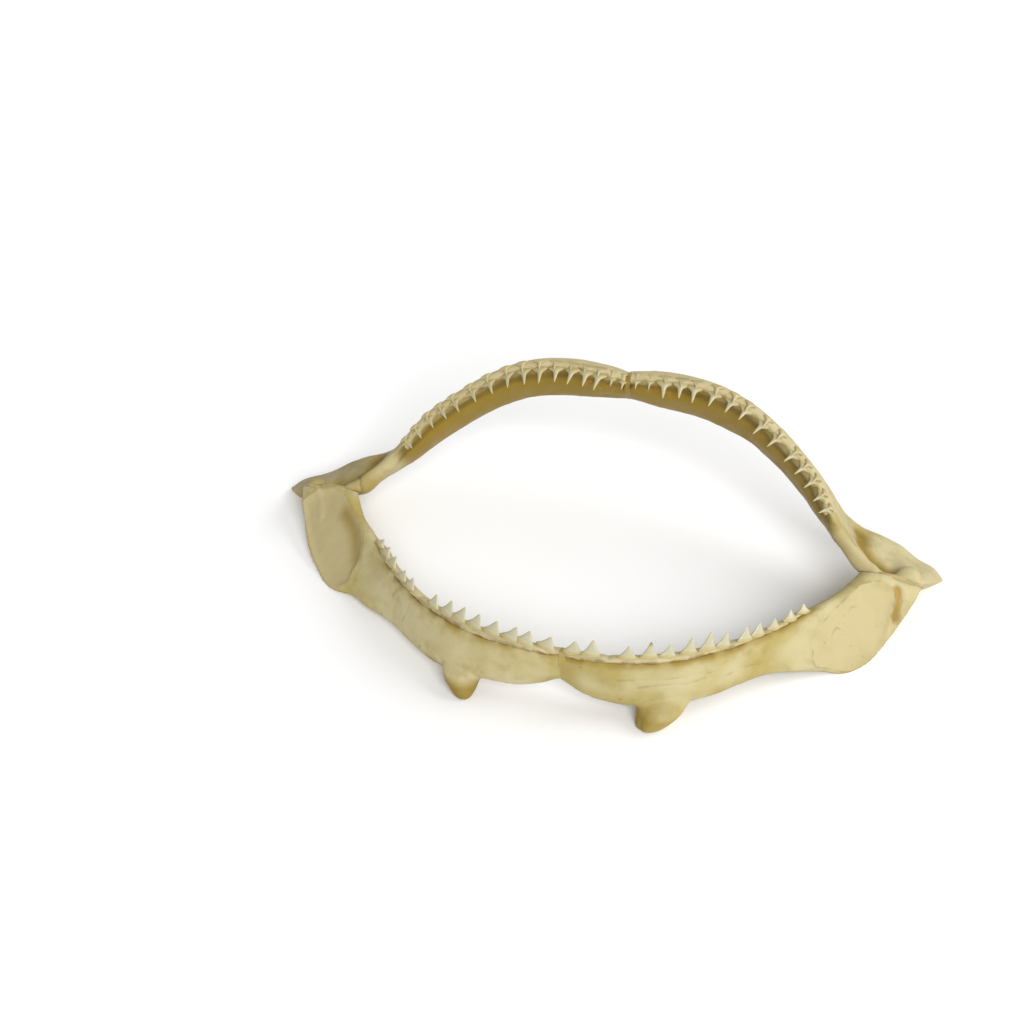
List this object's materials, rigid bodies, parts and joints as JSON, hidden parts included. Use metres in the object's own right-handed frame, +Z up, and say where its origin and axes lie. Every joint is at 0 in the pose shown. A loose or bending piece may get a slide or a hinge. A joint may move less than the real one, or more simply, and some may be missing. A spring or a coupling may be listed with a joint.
{
  "type": "shark jaw",
  "caption": "Dried jaw of a large requiem shark, gaping wide and lying belly-up, with blade-like upper teeth, spiky lower teeth and both hinges in place.",
  "frame": {"origin": "centre of the footprint of the whole jaw, on the floor", "axes": "+X across the jaw towards the shark's right side, +Y from the upper front teeth back past the hinges, +Z up; the shark lies belly-up"},
  "size_m": [0.4044, 0.206, 0.1057],
  "materials": {
    "cartilage": "satin dried cartilage, cream to straw yellow, with paler teeth",
    "ligament": "dull dried ligament, amber brown",
    "tooth": "smooth ivory enamel, yellower at the root; the teeth are part of the jaw halves"
  },
  "bodies": {
    "root": {"upper_jaw_right": "cartilage", "upper_jaw_left": "cartilage", "lower_jaw_right": "cartilage", "lower_jaw_left": "cartilage", "hinge_ligament_right": "ligament", "hinge_ligament_left": "ligament", "upper_symphysis": "ligament", "lower_symphysis": "ligament"}
  },
  "joints": []
}
